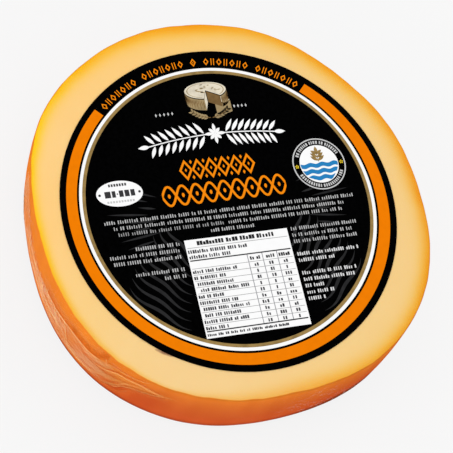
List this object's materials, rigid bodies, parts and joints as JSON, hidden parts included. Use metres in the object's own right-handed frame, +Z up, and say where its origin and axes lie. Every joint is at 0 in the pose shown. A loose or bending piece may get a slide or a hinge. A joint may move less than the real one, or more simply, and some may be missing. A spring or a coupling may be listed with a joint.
{
  "type": "provolone cheese wheel",
  "caption": "Whole wheel of provolone cheese lying flat in tight clear film, with a gathered fold of the film on its side and a round printed label on its top face.",
  "frame": {"origin": "on the surface that the wheel lies on, under the middle of its box", "axes": "+Z up out of the label, +Y the way the label reads upright, +X to the label's right"},
  "size_m": [0.2472, 0.247, 0.0605],
  "materials": {
    "smoked_rind": "waxy smoked rind under tight clear film: cream top face, golden rim and orange side, satin",
    "label_paper": "smooth black printed label with orange, white and gold rings, dull"
  },
  "bodies": {
    "root": {"wheel": "smoked_rind", "label": "label_paper"}
  },
  "joints": []
}
